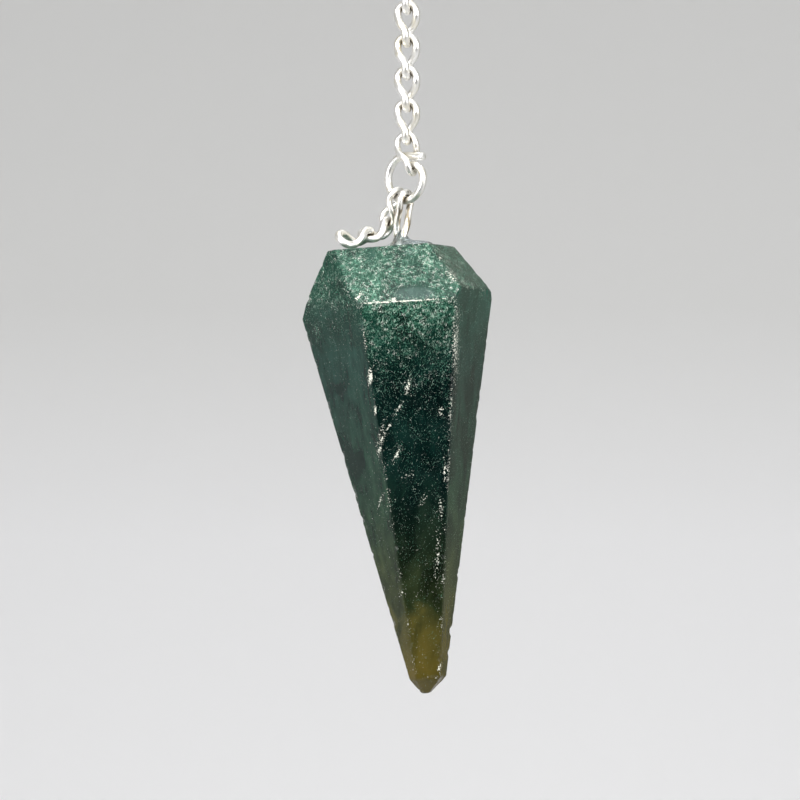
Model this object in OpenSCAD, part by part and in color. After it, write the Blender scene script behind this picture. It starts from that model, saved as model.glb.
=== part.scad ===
// A pendulum pendant. A six-sided pointed stone hangs by a twisted wire eye from
// a jump ring, at the foot of a short chain of twisted links.
// Millimetres. The origin is the inside top of the hang ring, where a hook or a
// finger carries the pendant. Z is up and the front of the stone faces -Y.

/* [Stone] */
// Length of the stone from its flat top to its blunt tip
stone_l = 44.4; // [30:0.2:70]
// Width of the stone across the corners of its shoulder
stone_w = 19.4; // [14:0.2:30]
// Width of the flat top across its corners
table_w = 12.8; // [9:0.2:18]
// Height of the sloping crown between the flat top and the shoulder
crown_h = 5.6; // [3:0.2:9]
// Width of the stone across its corners where the tip facets begin
waist_w = 3.8; // [2.8:0.1:7]
// Height of the ground tip below the long facets
tip_h = 1.5; // [0.8:0.1:4]
// Width across the corners of the small flat on the tip
nib_w = 1.6; // [0.8:0.1:2.4]
// Turn of the whole stone about its own length
stone_turn = 7; // [-30:1:30]
// Lean of the tip to the right
lean_side = 5; // [-12:0.2:12]
// Lean of the tip to the front
lean_front = 2.5; // [-12:0.5:12]

/* [Eye] */
// Thickness of the wire that the eye is twisted from
eye_wire = 0.7; // [0.5:0.05:0.9]
// Height of the eye from the jump ring's wire down to the stone
eye_h = 4.8; // [4:0.1:8]
// Sideways lean of the eye to the left on its way down
eye_lean = 8.5; // [-15:0.5:15]
// Width of the eye across its two legs below the loop
eye_w = 1.8; // [1.6:0.05:2.4]
// Turn of the two legs about each other between the loop and the stone
eye_twist = 110; // [60:10:360]
// Depth of the hole that is drilled in the stone for the eye
hole_depth = 6; // [3:0.5:12]
// Place of the hole to the right of the middle of the flat top
hole_x = 0.7; // [-2:0.1:2]
// Place of the hole behind the middle of the flat top
hole_y = -0.5; // [-2:0.1:2]

/* [Glue] */
// Width of the bead of glue round the foot of the eye
glue_w = 3.4; // [2.6:0.1:5]
// Height that the glue climbs up the eye
glue_h = 1.7; // [0.8:0.1:2.2]
// Width of the low puddle that the glue runs out to
puddle_w = 4; // [2.6:0.1:5]
// Height of the puddle
puddle_h = 0.6; // [0.2:0.05:1]
// Distance of the puddle's middle to the right of the eye
puddle_off = 1.5; // [0:0.1:2]

/* [Jump ring] */
// Outside width of the jump ring
ring_od = 5.3; // [5:0.1:6.4]
// Thickness of the jump ring's wire
ring_wire = 0.8; // [0.6:0.05:0.9]
// Length of the straight end that stands out past the top of the ring
flag_l = 2.2; // [1:0.1:3.5]
// Slope of the straight end below level
flag_drop = 5; // [0:1:12]
// How far the inner end runs past its own highest point, in degrees
inner_run = 35; // [10:5:60]
// Turn of the ring's plane, with its right side to the front
ring_turn = 40; // [0:5:60]

/* [Chain] */
// Outside length of a link
link_l = 4.7; // [4.56:0.02:5.6]
// Outside width of a link
link_w = 2.54; // [2.48:0.02:2.62]
// Thickness of the links' wire
link_wire = 0.68; // [0.5:0.02:0.72]
// Turn from the top end of a link to its bottom end
link_twist = 80; // [60:5:90]

/* [Hang ring] */
// Outside width of the ring at the top of the chain
hang_od = 7; // [5:0.5:12]
// Thickness of the hang ring's wire
hang_wire = 0.9; // [0.6:0.1:1.1]

/* [Clearance] */
// Free space between wires that hook into one another
wire_gap = 0.08; // [0.04:0.01:0.12]
// Free space between the glue or the eye and the stone
seat_gap = 0.05; // [0.03:0.01:0.1]
// Free space round the wires of the eye in their hole
hole_gap = 0.1; // [0.05:0.01:0.2]
// Free space below the ends of the eye's wires in their hole
end_gap = 0.2; // [0.1:0.05:0.5]

/* [Hidden] */

stone_colour = "#3f6b5a";
wire_colour = "#e9e6dc";
glue_colour = "#b9c8cc";

// Links in the chain above the jump ring
CHAIN_N = 6;
// Sides of each wire's section, and of the turned shapes
link_sides = 6;
eye_sides = 8;
ring_sides = 10;
round_sides = 48;

// The facets of the stone, one row for each of its six sides. The turn is in
// degrees from the front, to the right. The other columns are shares: of half
// the flat top, of half the shoulder width, of the crown's height, of half the
// waist and of half the tip's flat.
TURN = 0;
TABLE = 1;
SHOULDER = 2;
DEPTH = 3;
WAIST = 4;
NIB = 5;
FACETS = [
    [0, 0.83, 1.03, 1.05, 0.94, 0.7],
    [60, 0.90, 1.04, 0.87, 0.96, 0.1],
    [120, 1.16, 0.97, 1.03, 0.92, 0.1],
    [180, 0.96, 0.97, 0.96, 1.00, 0.7],
    [240, 0.74, 0.98, 1.12, 0.88, 1.1],
    [300, 1.40, 1.03, 0.80, 1.25, 1.1]
];

// The tail's links, one row each from the ring down. The heading is in degrees
// from the left side toward the back. The slope is a share of the steepness that
// would bring one link down to where the tail's end lies, with its length as the
// run. The roll turns the link about its own length, in degrees.
HEADING = 0;
SLOPE = 1;
ROLL = 2;
TAIL = [
    [40, 1.779, 0],
    [-45, 0.75, -10],
    [-45, 1.287, 0]
];
// Place of the first tail link on the jump ring, in degrees left of the bottom
tail_place = 34;
// Height of the middle of the wire at the tail's end above the foot of the eye
tail_rise = 0.34;

// Reach of a flat side of a regular hexagon, as a share of half its corner width
flat_share = cos(30);
// Rough block that the facets are cut from
rough = 2 * stone_l;

ring_r = (ring_od - ring_wire) / 2;
ring_across = [cos(ring_turn), -sin(ring_turn), 0];
ring_through = [sin(ring_turn), cos(ring_turn), 0];
// The inner end is a smaller arc that just clears the straight end above it
inner_shift = (ring_wire + wire_gap) / (1 - sin(flag_drop));
inner_r = ring_r - inner_shift;

bend_r = (link_w - link_wire) / 2;
leg_half = (link_l - link_wire) / 2 - bend_r;
link_reach = link_l - link_wire;
hook_gap = link_wire + wire_gap;
pitch = link_reach - hook_gap;

hang_r = (hang_od - hang_wire) / 2;
hang_centre = [0, 0, -(hang_r - hang_wire / 2)];
// Middle of the wire at the top of the first link
chain_top = hang_centre + [0, 0, -hang_r + (hang_wire + link_wire) / 2 + wire_gap];

// The last link turns about the middle of its top bend. It leans most of the way
// that would bring the jump ring's middle straight below the chain.
lean_share = 0.8;
hook_drop = inner_r - (ring_wire + link_wire) / 2 - wire_gap;
last_lean = lean_share * asin(inner_shift / (link_reach - bend_r));
last_axis = sin(last_lean) * ring_across + [0, 0, -cos(last_lean)];
last_top = chain_top - [0, 0, (CHAIN_N - 1) * pitch + bend_r] - bend_r * last_axis;
last_roll = -13;
last_foot = last_top + link_reach * last_axis;
ring_centre = last_foot - inner_shift * ring_across - [0, 0, hook_drop];
ring_foot = ring_centre - [0, 0, ring_r];

eye_half = (eye_w - eye_wire) / 2;
// Shares of the eye's height where its legs have narrowed below the loop and
// where they have closed up
eye_wide = 0.3;
eye_closed = 0.85;
eye_base_half = (eye_wire + wire_gap) / 2;
eye_arch_r = (ring_wire + eye_wire) / 2 + wire_gap;
eye_axis = [-sin(eye_lean), 0, -cos(eye_lean)];
eye_foot = ring_foot + eye_h / cos(eye_lean) * eye_axis;
hole_d = 2 * (eye_base_half + eye_wire / 2 + hole_gap);
// How far under the leaning eye the bead of glue moves, as a share of its height
bead_share = 0.8;

// Height at which the tail's end lies, a little above the flat top
tail_floor = eye_foot[2] + tail_rise;

stone_axis = [sin(lean_side), -sin(lean_front), -1] / norm([sin(lean_side), -sin(lean_front), -1]);

function unit(v) = v / norm(v);
// A side direction made square to a new axis
function square_to(v, axis) = unit(v - (v * axis) * axis);
// A side direction carried round the turn from one axis to the next
function carried(v, from, to) = v - (to * v) / (1 + from * to) * (from + to);
function turned(v, axis, angle) = v * cos(angle) + cross(axis, v) * sin(angle);
function smooth(t) = let (s = min(1, max(0, t))) s * s * (3 - 2 * s);
function blend(a, b, t) = a + (b - a) * t;

// Rings of points round a path, one for each point of the path. Each ring is
// square to the path and starts on the side that its guide direction points to.
function swept_rings(path, guides, d, sides, closed) = [
    for (i = [0 : len(path) - 1])
        let (
            last = len(path) - 1,
            before = i > 0 ? path[i - 1] : (closed ? path[last] : path[0]),
            after = i < last ? path[i + 1] : (closed ? path[0] : path[last]),
            along = unit(after - before),
            out = square_to(guides[i], along),
            side = cross(along, out)
        )
        for (k = [0 : sides - 1])
            path[i] + d / 2 * (cos(360 * k / sides) * out + sin(360 * k / sides) * side)
];

function swept_faces(count, sides, closed) = concat(
    [
        for (i = [0 : count - (closed ? 1 : 2)])
            for (k = [0 : sides - 1])
                let (
                    j = (i + 1) % count,
                    m = (k + 1) % sides,
                    a = i * sides + k,
                    b = j * sides + k,
                    c = j * sides + m,
                    d = i * sides + m
                )
                each [[a, b, c], [a, c, d]]
    ],
    closed ? [] : [
        [for (k = [0 : sides - 1]) k],
        [for (k = [sides - 1 : -1 : 0]) (count - 1) * sides + k]
    ]
);

module swept_wire(path, guides, d, sides, closed) {
    polyhedron(
        swept_rings(path, guides, d, sides, closed),
        swept_faces(len(path), sides, closed)
    );
}

// Middle line of a flat link, each point with the direction that faces outward:
// over the top bend, down a leg, round the bottom bend and back up
function flat_bend(from, z) = [
    for (i = [0 : 4])
        let (a = from + 45 * i)
        [bend_r * cos(a), z + bend_r * sin(a), a]
];
function flat_leg(x, z, facing) = [for (i = [1 : 3]) [x, z * (1 - i / 2), facing]];
function flat_link() = concat(
    flat_bend(0, leg_half),
    flat_leg(-bend_r, leg_half, 180),
    flat_bend(180, -leg_half),
    flat_leg(bend_r, -leg_half, 0)
);
function link_turn(z) = link_twist * smooth((leg_half - z) / (2 * leg_half));

// One link with the middle of its top bend at the origin, its top bend facing
// the front and its bottom bend turned by the twist
module link_shape() {
    flat = flat_link();
    path = [
        for (p = flat)
            let (a = link_turn(p[1]))
            [p[0] * cos(a), p[0] * sin(a), p[1] - link_reach / 2]
    ];
    guides = [
        for (p = flat)
            let (a = link_turn(p[1]))
            [cos(p[2]) * cos(a), cos(p[2]) * sin(a), sin(p[2])]
    ];
    swept_wire(path, guides, link_wire, link_sides, true);
}

// A link hung from a point, along an axis, with its top bend spread to a side
module hung_link(top, axis, side) {
    across = square_to(side, axis);
    through = cross(-axis, across);
    multmatrix([
        [across[0], through[0], -axis[0], top[0]],
        [across[1], through[1], -axis[1], top[1]],
        [across[2], through[2], -axis[2], top[2]],
        [0, 0, 0, 1]
    ])
        link_shape();
}

module chain_link(k) {
    color(wire_colour)
        if (k < CHAIN_N)
            hung_link(chain_top - [0, 0, (k - 1) * pitch], [0, 0, -1], [1, 0, 0]);
        else
            hung_link(last_top, last_axis, turned([1, 0, 0], [0, 0, 1], last_roll));
}

// The tail: the fall, axis, side direction, top and foot of each link in turn
function tail_fall(k) =
    let (from_z = k == 1 ? ring_centre[2] - ring_r * cos(tail_place) : tail_foot(k - 1)[2])
    atan(TAIL[k - 1][SLOPE] * (from_z - tail_floor) / link_reach);
function tail_axis(k) = let (heading = TAIL[k - 1][HEADING], fall = tail_fall(k)) [
    -cos(fall) * cos(heading),
    cos(fall) * sin(heading),
    -sin(fall)
];
function tail_side(k) = k == 1
    ? square_to(ring_through, tail_axis(1))
    : carried(tail_side(k - 1), tail_axis(k - 1), tail_axis(k));
function tail_top(k) = k == 1
    ? ring_centre
        - ring_r * (sin(tail_place) * ring_across + [0, 0, cos(tail_place)])
        - ((ring_wire + link_wire) / 2 + wire_gap) * tail_axis(1)
    : tail_foot(k - 1)
        + (bend_r - hook_gap) * unit(tail_axis(k - 1) + tail_axis(k))
        - bend_r * tail_axis(k);
function tail_foot(k) = tail_top(k) + link_reach * tail_axis(k);

module tail_link(k) {
    axis = tail_axis(k);
    color(wire_colour)
        hung_link(tail_top(k), axis, turned(tail_side(k), axis, TAIL[k - 1][ROLL]));
}

// Middle line of the jump ring in its own plane, from the end of the straight
// part over the top, round the left, the bottom and the right to the inner end
function flat_ring() =
    let (
        outer_steps = 26,
        inner_steps = 10,
        start = [ring_r * sin(flag_drop), ring_r * cos(flag_drop)],
        out = [cos(flag_drop), -sin(flag_drop)]
    )
    concat(
        [start + flag_l * out, start + flag_l / 2 * out],
        [
            for (i = [0 : outer_steps])
                let (a = blend(90 - flag_drop, 360, i / outer_steps))
                ring_r * [cos(a), sin(a)]
        ],
        [
            for (i = [1 : inner_steps])
                let (a = (90 + inner_run) * i / inner_steps)
                [inner_shift + inner_r * cos(a), inner_r * sin(a)]
        ]
    );

module jump_ring() {
    path = [for (p = flat_ring()) ring_centre + p[0] * ring_across + [0, 0, p[1]]];
    guides = [for (p = path) ring_through];
    color(wire_colour)
        swept_wire(path, guides, ring_wire, ring_sides, false);
}

module hang_ring() {
    color(wire_colour)
        translate(hang_centre)
            rotate([0, 90, 0])
                rotate_extrude($fn = round_sides)
                    translate([hang_r, 0])
                        circle(d = hang_wire, $fn = round_sides / 2);
}

// Turns the stone's own upright frame to its lean
module leaned() {
    across = square_to([1, 0, 0], stone_axis);
    through = cross(-stone_axis, across);
    multmatrix([
        [across[0], through[0], -stone_axis[0], eye_foot[0]],
        [across[1], through[1], -stone_axis[1], eye_foot[1]],
        [across[2], through[2], -stone_axis[2], eye_foot[2]],
        [0, 0, 0, 1]
    ])
        children();
}

// Everything outside a plane that slopes from one reach and height to another
module outside_facet(turn, reach_a, z_a, reach_b, z_b) {
    rotate([0, 0, turn])
        translate([0, -reach_a, z_a])
            rotate([-atan2(reach_b - reach_a, z_a - z_b), 0, 0])
                translate([-rough, -2 * rough, -rough])
                    cube([2 * rough, 2 * rough, 2 * rough]);
}

module stone() {
    color(stone_colour)
        leaned()
            difference() {
                translate([-hole_x, -hole_y, 0])
                    rotate([0, 0, stone_turn])
                        cut_stone();
                translate([0, 0, -hole_depth])
                    cylinder(d = hole_d, h = 2 * hole_depth, $fn = round_sides);
            }
}

// The stone with the middle of its flat top at the origin
module cut_stone() {
    waist_z = tip_h - stone_l;
    difference() {
        translate([-stone_w, -stone_w, -stone_l])
            cube([2 * stone_w, 2 * stone_w, stone_l]);
        for (f = FACETS) {
            table_reach = f[TABLE] * table_w / 2 * flat_share;
            shoulder_reach = f[SHOULDER] * stone_w / 2 * flat_share;
            waist_reach = f[WAIST] * waist_w / 2 * flat_share;
            nib_reach = f[NIB] * nib_w / 2 * flat_share;
            shoulder_z = -f[DEPTH] * crown_h;
            outside_facet(f[TURN], table_reach, 0, shoulder_reach, shoulder_z);
            outside_facet(f[TURN], shoulder_reach, shoulder_z, waist_reach, waist_z);
            outside_facet(f[TURN], waist_reach, waist_z, nib_reach, -stone_l);
        }
    }
}

// Middle line of the eye at a distance down from the jump ring's wire
eye_run = norm(eye_foot - ring_foot);
function eye_middle(t) = t < eye_run
    ? ring_foot + t * eye_axis
    : eye_foot + (t - eye_run) * stone_axis;
function eye_spread(t) = let (s = t / eye_run) s < eye_wide
    ? blend(eye_arch_r, eye_half, smooth(s / eye_wide))
    : blend(eye_half, eye_base_half, smooth((s - eye_wide) / (eye_closed - eye_wide)));
function eye_turn(t) = -eye_twist * smooth(t / eye_run);
eye_side = square_to(ring_through, eye_axis);
function eye_leg(t, way) =
    eye_middle(t) + way * eye_spread(t) * turned(eye_side, -eye_axis, eye_turn(t));

module eye_loop() {
    in_hole = hole_depth - end_gap;
    steps = 14;
    marks = concat(
        [eye_run + in_hole, eye_run + in_hole / 2],
        [for (i = [steps : -1 : 1]) eye_run * i / steps]
    );
    path = concat(
        [for (t = marks) eye_leg(t, -1)],
        [
            for (a = [0 : 22.5 : 180])
                ring_foot + eye_arch_r * (-cos(a) * eye_side - sin(a) * eye_axis)
        ],
        [for (i = [len(marks) - 1 : -1 : 0]) eye_leg(marks[i], 1)]
    );
    guides = [for (p = path) ring_across];
    color(wire_colour)
        swept_wire(path, guides, eye_wire, eye_sides, false);
}

// A bead with a hollow slope from its rim up to the wires that it climbs
function meniscus(r_in, r_out, h) = concat(
    [[r_in, 0], [r_out, 0], [r_out, seat_gap]],
    [
        for (a = [15 : 15 : 90])
            [
                r_out - (r_out - r_in) * sin(a),
                seat_gap + (h - seat_gap) * (1 - cos(a))
            ]
    ]
);

// A low round-topped drop
function puddle(r, h) = concat(
    [[0, 0], [r, 0]],
    [for (a = [15 : 15 : 90]) [r * cos(a), seat_gap + (h - seat_gap) * sin(a)]]
);

module glue_collar() {
    bore_r = hole_d / 2;
    climb_r = 0.9 * bore_r;
    // The bead climbs highest on the side that the eye leans to
    bead_x = bead_share * glue_h * tan(eye_lean + lean_side);
    color(glue_colour)
        difference() {
            leaned()
                translate([0, 0, seat_gap])
                    union() {
                        translate([bead_x, 0, 0])
                            rotate_extrude($fn = round_sides)
                                polygon(meniscus(climb_r, glue_w / 2, glue_h));
                        translate([puddle_off, 0, 0])
                            rotate_extrude($fn = round_sides)
                                polygon(puddle(puddle_w / 2, puddle_h));
                    }
            translate(eye_foot)
                rotate([0, eye_lean, 0])
                    translate([0, 0, -glue_h])
                        cylinder(r = bore_r, h = 3 * glue_h, $fn = round_sides);
        }
}

stone();
eye_loop();
glue_collar();
jump_ring();
hang_ring();
chain_link(1);  // chain_link_1
chain_link(2);  // chain_link_2
chain_link(3);  // chain_link_3
chain_link(4);  // chain_link_4
chain_link(5);  // chain_link_5
chain_link(6);  // chain_link_6
tail_link(1);  // tail_link_1
tail_link(2);  // tail_link_2
tail_link(3);  // tail_link_3
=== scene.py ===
# %% [markdown]
# # A pendulum pendant
# A six-sided stone point hangs on a twisted wire eye, a jump ring and a short
# silver-plated chain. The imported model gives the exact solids. Each of them is
# swapped here for a rounder, worn twin in the same place, with the finish of the
# real thing.

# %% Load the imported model
import math

import bmesh
import bpy
import numpy as np
from mathutils import Matrix, Vector, noise
from mathutils.bvhtree import BVHTree


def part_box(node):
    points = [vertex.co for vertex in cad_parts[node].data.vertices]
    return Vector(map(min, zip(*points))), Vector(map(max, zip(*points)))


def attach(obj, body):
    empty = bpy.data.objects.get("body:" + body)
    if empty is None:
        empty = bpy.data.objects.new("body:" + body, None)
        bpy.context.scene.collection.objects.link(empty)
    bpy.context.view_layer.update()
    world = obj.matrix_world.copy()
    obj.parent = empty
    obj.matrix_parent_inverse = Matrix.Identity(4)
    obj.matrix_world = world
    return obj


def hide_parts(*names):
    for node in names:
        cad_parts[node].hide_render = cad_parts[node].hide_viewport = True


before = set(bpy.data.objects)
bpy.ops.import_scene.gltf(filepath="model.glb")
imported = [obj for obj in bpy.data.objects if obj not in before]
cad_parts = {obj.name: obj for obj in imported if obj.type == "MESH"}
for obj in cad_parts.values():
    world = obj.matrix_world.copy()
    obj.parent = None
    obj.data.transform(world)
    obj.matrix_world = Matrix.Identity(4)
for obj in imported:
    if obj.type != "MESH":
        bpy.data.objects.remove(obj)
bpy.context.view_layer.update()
MM = 0.001

# %% [markdown]
# ## Camera
# A long lens from 300 mm away flattens the view as a product photograph does. The
# camera is level, so the chain stays upright in the picture. The view is 80 mm
# wide where the pendant hangs.

# %% Camera
VIEW_WIDTH = 80 * MM
AIM = Vector((-0.69, 0, -47.65)) * MM
lens = bpy.data.cameras.new("camera")
lens.lens = 135
lens.sensor_width = 36
camera = bpy.data.objects.new("camera", lens)
camera.location = AIM - Vector((0, VIEW_WIDTH * lens.lens / lens.sensor_width, 0))
camera.rotation_euler = (math.radians(90), 0, 0)
bpy.context.collection.objects.link(camera)
bpy.context.scene.camera = camera
bpy.context.scene.view_settings.view_transform = "Standard"
print("camera to pendant, mm:", round((AIM - camera.location).length / MM))


# %% [markdown]
# ## Helpers for materials
# Colours are written as the hex values that a colour picker shows. Blender mixes
# light in linear values, so one function turns the first into the second. One more
# adds a node: a socket among its inputs is linked, and anything else is set.

# %% Colour and node helpers
def linear(hex_colour):
    """The linear red, green, blue and alpha of a hex colour."""
    parts = [int(hex_colour[i:i + 2], 16) / 255 for i in (1, 3, 5)]
    return [c / 12.92 if c <= 0.04045 else ((c + 0.055) / 1.055) ** 2.4 for c in parts] + [1]


def add(tree, kind, inputs=None, stops=None, **settings):
    """One more node in a tree, with its settings, its inputs and a ramp's stops."""
    node = tree.nodes.new("ShaderNode" + kind)
    for name, value in settings.items():
        setattr(node, name, value)
    for name, value in (inputs or {}).items():
        if isinstance(value, bpy.types.NodeSocket):
            tree.links.new(value, node.inputs[name])
        else:
            node.inputs[name].default_value = value
    if stops:
        ramp = node.color_ramp.elements
        for _ in range(len(stops) - 2):
            ramp.new(0.5)
        for element, (place, colour) in zip(ramp, stops):
            element.position = place
            element.color = linear(colour)
    return node


def new_material(name):
    """An empty material: its node tree, its shader and its coordinates in mm."""
    material = bpy.data.materials.new(name)
    material.use_nodes = True
    tree = material.node_tree
    shader = tree.nodes["Principled BSDF"]
    place = add(tree, "TexCoord").outputs["Object"]
    in_mm = add(tree, "VectorMath", {0: place, "Scale": 1000}, operation="SCALE")
    return material, tree, shader, in_mm.outputs[0]


# %% [markdown]
# ## Stage
# The real pendant hangs in front of plain pale paper, far out of focus. A round
# sweep of paper, floor and wall in one, gives each side of the pendant the same
# quiet background and the same soft reflections. One edge line spun round the
# middle makes all of it.

# %% Paper sweep
FLOOR = -0.60
SWEEP_R = 1.25
COVE_R = 0.55
WALL_TOP = 1.1

paper_mesh = bmesh.new()
edge = paper_mesh.verts.new((0, 0, FLOOR))


def draw_on(bm, vert, to):
    """Draws an edge from a vertex to a place, and returns the vertex there."""
    new = bmesh.ops.extrude_vert_indiv(bm, verts=[vert])["verts"][0]
    new.co = to
    return new


COVE_MIDDLE = (0, SWEEP_R - COVE_R, FLOOR + COVE_R)
edge = draw_on(paper_mesh, edge, (0, SWEEP_R - COVE_R, FLOOR))
arc = bmesh.ops.spin(
    paper_mesh, geom=[edge], cent=COVE_MIDDLE, axis=(1, 0, 0),
    angle=math.radians(90), steps=16,
)
edge = [g for g in arc["geom_last"] if isinstance(g, bmesh.types.BMVert)][0]
draw_on(paper_mesh, edge, (0, SWEEP_R, WALL_TOP))
bmesh.ops.spin(
    paper_mesh, geom=paper_mesh.verts[:] + paper_mesh.edges[:], cent=(0, 0, 0),
    axis=(0, 0, 1), angle=math.radians(360), steps=96, use_merge=True,
)
bmesh.ops.remove_doubles(paper_mesh, verts=paper_mesh.verts, dist=1e-5)
print("sweep, m across:", 2 * SWEEP_R, "and high:", round(WALL_TOP - FLOOR, 2))


def finished(name, bm, material):
    """Makes an object of a bmesh, with its normals outward and one material."""
    bmesh.ops.recalc_face_normals(bm, faces=bm.faces)
    for face in bm.faces:
        face.smooth = True
    mesh = bpy.data.meshes.new(name)
    bm.to_mesh(mesh)
    bm.free()
    mesh.materials.append(material)
    piece = bpy.data.objects.new(name, mesh)
    bpy.context.collection.objects.link(piece)
    print(name, "faces:", len(mesh.polygons))
    return piece


# %% [markdown]
# Matte paper scatters light evenly. Its colour is painted lighter at the floor and darker
# up the wall. This is painted light and shade for the way the light falls off where a
# roll of paper turns up behind the object.

# %% Paper material
paper, tree, shader, mm = new_material("matte_backdrop_paper")
height = add(tree, "SeparateXYZ", {0: mm}).outputs["Z"]
rise = add(tree, "MapRange", {"Value": height, "From Min": -300, "From Max": 300})
# Painted light and shade: the paper is lighter at the floor and darker up the wall
painted_light_falloff = add(
    tree, "ValToRGB", {0: rise.outputs[0]},
    stops=[(0, "#F6F6F7"), (0.3, "#ECECED"), (0.5, "#D9D9D8"), (1, "#CDCDCC")],
)
tree.links.new(painted_light_falloff.outputs[0], shader.inputs["Base Color"])
shader.inputs["Roughness"].default_value = 0.9
shader.inputs["Specular IOR Level"].default_value = 0.2
sweep = finished("paper_sweep", paper_mesh, paper)

# %% [markdown]
# ## Light
# One soft light above the camera and one over the pendant light the crown and make
# the flecks glint. Two at the front corners draw long white highlights down the
# wires. A grid on each of these four keeps its light off the paper. The paper has
# two lights of its own: one for what the camera sees of it, and one for the part
# behind the camera, which the wires mirror. Even light from all round fills the rest.

# %% Soft lights
BACK_PAPER = Vector((0.12, 0.95, -0.10))
FRONT_PAPER = Vector((0.0, -1.10, -0.10))
OPEN, GRID = math.radians(180), math.radians(110)
LAMPS = [
    # name, place, size across in metres, power in watts, spread of the light, aim
    ("top_light", (-0.05, -0.38, 0.50), 0.50, 0.64, GRID, AIM),
    ("front_light", (-0.15, -0.80, 0.30), 0.45, 0.75, GRID, AIM),
    ("left_light", (-0.58, -0.62, 0.06), 0.66, 2.0, GRID, AIM),
    ("right_light", (0.60, -0.60, 0.08), 0.66, 2.0, GRID, AIM),
    ("paper_light", (0.20, 0.30, 0.80), 0.90, 2.55, OPEN, BACK_PAPER),
    ("bounce_light", (0.0, -0.40, 0.85), 0.60, 2.4, OPEN, FRONT_PAPER),
]
for name, place, across, power, spread, aim in LAMPS:
    lamp = bpy.data.lights.new(name, "AREA")
    lamp.shape = "DISK"
    lamp.size = across
    lamp.energy = power
    lamp.spread = spread
    holder = bpy.data.objects.new(name, lamp)
    holder.location = place
    holder.rotation_euler = (aim - Vector(place)).to_track_quat("-Z", "Y").to_euler()
    holder.visible_camera = False
    bpy.context.collection.objects.link(holder)
print("lamps:", len(LAMPS), "watts:", round(sum(row[3] for row in LAMPS), 2))

# %% Light from all round
world = bpy.data.worlds.new("studio")
bpy.context.scene.world = world
world.use_nodes = True
sky = world.node_tree.nodes["Background"]
sky.inputs["Color"].default_value = linear("#D8D8D7")
sky.inputs["Strength"].default_value = 0.74
print("light from all round:", round(sky.inputs["Strength"].default_value, 2))


# %% [markdown]
# Polished stone mirrors what its facets face, and that sets their shade. The long
# front facet leans to the floor and mirrors a card of black felt there, which keeps
# its colour deep. The facet to its right mirrors a grey board that stands to the
# right behind the pendant and is duller than the paper. The camera sees neither.

# %% Cards that only reflections show
def upright_card(name, material, middle, turn, width, height):
    """An upright card in metres, turned about the vertical by some degrees."""
    bm = bmesh.new()
    bmesh.ops.create_grid(
        bm, x_segments=1, y_segments=1, size=0.5,
        matrix=Matrix.Translation(middle) @ Matrix.Rotation(math.radians(turn), 4, "Z")
        @ Matrix.Rotation(math.radians(90), 4, "X") @ Matrix.Diagonal((width, height, 1, 1)),
    )
    made = finished(name, bm, material)
    made.visible_camera = False
    return made


felt, tree, shader, mm = new_material("black_felt")
# Felt swallows light. Its nap lies this way and that in patches of 2 to 3 mm.
nap = add(tree, "TexNoise", {"Vector": mm, "Scale": 0.4, "Detail": 1})
felt_shade = add(
    tree, "ValToRGB", {0: nap.outputs[0]}, stops=[(0.3, "#0B0B0C"), (0.7, "#17171A")]
)
tree.links.new(felt_shade.outputs[0], shader.inputs["Base Color"])
shader.inputs["Roughness"].default_value = 1
shader.inputs["Specular IOR Level"].default_value = 0
card = upright_card(
    "dark_card", felt, middle=(0.04, -0.20, -0.153), turn=0, width=0.36, height=0.176
)

grey_board, tree, shader, mm = new_material("grey_board")
# Board of grey paper pulp is dull and faintly clouded, every 5 mm or so
pulp = add(tree, "TexNoise", {"Vector": mm, "Scale": 0.2, "Detail": 2})
board_shade = add(
    tree, "ValToRGB", {0: pulp.outputs[0]}, stops=[(0.3, "#7E7E76"), (0.7, "#8A8A80")]
)
tree.links.new(board_shade.outputs[0], shader.inputs["Base Color"])
shader.inputs["Roughness"].default_value = 0.9
side_card = upright_card(
    "side_card", grey_board, middle=(0.144, 0.166, -0.01), turn=-41, width=0.19, height=0.26
)


# %% [markdown]
# ## Silver-plated wire
# All the metal here is brass wire with a bright silver plate. Silver mirrors the
# pale studio and so looks almost white. It yellows where it isn't rubbed, and is
# painted a darker brown where two wires touch, partly tarnish and partly painted
# shade. Handling leaves fine scratches.

# %% Silver plate material
silver, tree, shader, mm = new_material("silver_plated_wire")
# Blotches of thin tarnish, about 1.5 mm across
blotch = add(tree, "TexNoise", {"Vector": mm, "Scale": 0.7, "Detail": 3, "Roughness": 0.6})
blotch_mask = add(
    tree, "MapRange", {"Value": blotch.outputs[0], "From Min": 0.45, "From Max": 0.75}
)
plate = add(
    tree, "Mix",
    {"Factor": blotch_mask.outputs[0], "A": linear("#FEFDFA"), "B": linear("#F8F2E0")},
    data_type="RGBA",
)
# Darker brown near other wires: partly tarnish, partly painted shade
nook_tarnish_and_shade = add(tree, "Attribute", attribute_name="nook_tarnish_and_shade").outputs["Fac"]
plate_with_nook_shade = add(
    tree, "Mix", {"Factor": nook_tarnish_and_shade, "A": plate.outputs["Result"], "B": linear("#7D6D4B")},
    data_type="RGBA",
)
tree.links.new(plate_with_nook_shade.outputs["Result"], shader.inputs["Base Color"])
shader.inputs["Metallic"].default_value = 1
# Scratches are a few hundredths of a millimetre. They are drawn 0.1 mm wide here,
# so that they show at all.
turned = add(
    tree, "Mapping", {"Vector": mm, "Rotation": (0.3, 0.5, 0), "Scale": (0.1, 0.1, 1.2)},
    vector_type="TEXTURE",
)
scratch = add(tree, "TexNoise", {"Vector": turned.outputs[0], "Scale": 1, "Detail": 2})
rough = add(
    tree, "MapRange",
    {
        "Value": scratch.outputs[0], "From Min": 0.3, "From Max": 0.7,
        "To Min": 0.32, "To Max": 0.46,
    },
)
tree.links.new(rough.outputs[0], shader.inputs["Roughness"])
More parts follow.
